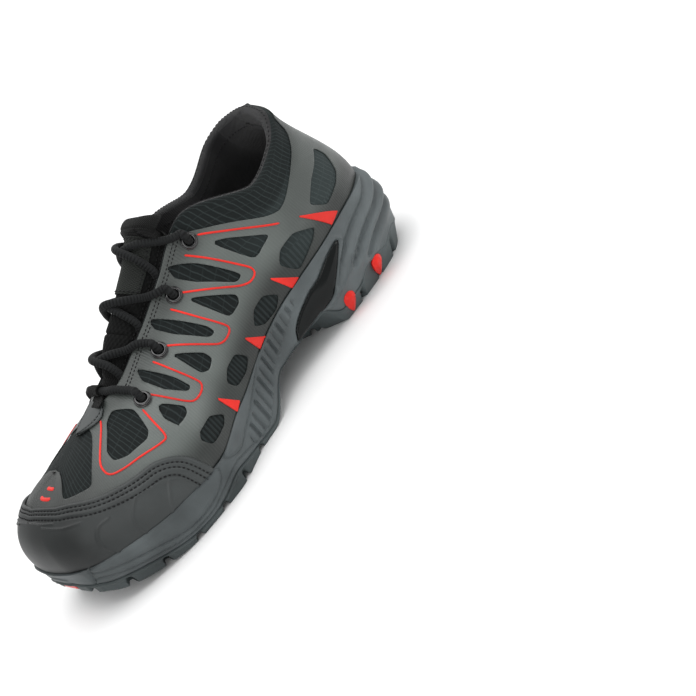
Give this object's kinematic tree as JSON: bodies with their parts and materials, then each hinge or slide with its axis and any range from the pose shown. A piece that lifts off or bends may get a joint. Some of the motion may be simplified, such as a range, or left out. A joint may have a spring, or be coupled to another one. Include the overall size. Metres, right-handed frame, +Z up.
{
  "type": "shoe",
  "caption": "Low safety sneaker for the left foot: lugged sole with a lifted waist, hollow upper with padded collar, toe cap, padded tongue and criss-cross laces.",
  "frame": {"origin": "on the floor, below the middle of the bounding box", "axes": "+Z up, toe along -Y, heel along +Y, +X the wearer's left, which is the outer side"},
  "size_m": [0.1146, 0.3101, 0.131],
  "materials": {
    "outsole_rubber": "matte moulded rubber",
    "midsole_foam": "satin moulded foam rubber",
    "red_rubber": "glossy moulded rubber",
    "plate_plastic": "glossy",
    "upper_fabric": "ripstop mesh under satin film",
    "cap_leather": "smooth coated leather",
    "tongue_fabric": "padded woven fabric",
    "lining_fabric": "matte knitted lining",
    "eyelet_metal": "glossy black",
    "lace_fabric": "braided cord"
  },
  "bodies": {
    "root": {"outsole": "outsole_rubber", "midsole": "midsole_foam", "insole": "lining_fabric", "toe_bumper": "outsole_rubber", "toe_plug": "red_rubber", "arch_plate_outer": "plate_plastic", "arch_plate_inner": "plate_plastic", "heel_plug_outer_1": "red_rubber", "heel_plug_outer_2": "red_rubber", "heel_plug_inner_1": "red_rubber", "heel_plug_inner_2": "red_rubber", "upper": "upper_fabric", "toe_cap": "cap_leather", "tongue": "tongue_fabric", "throat_tab": "cap_leather", "eyelet_outer_1": "eyelet_metal", "eyelet_outer_2": "eyelet_metal", "eyelet_outer_3": "eyelet_metal", "eyelet_outer_4": "eyelet_metal", "eyelet_inner_1": "eyelet_metal", "eyelet_inner_2": "eyelet_metal", "eyelet_inner_3": "eyelet_metal", "eyelet_inner_4": "eyelet_metal", "laces": "lace_fabric"}
  },
  "joints": []
}
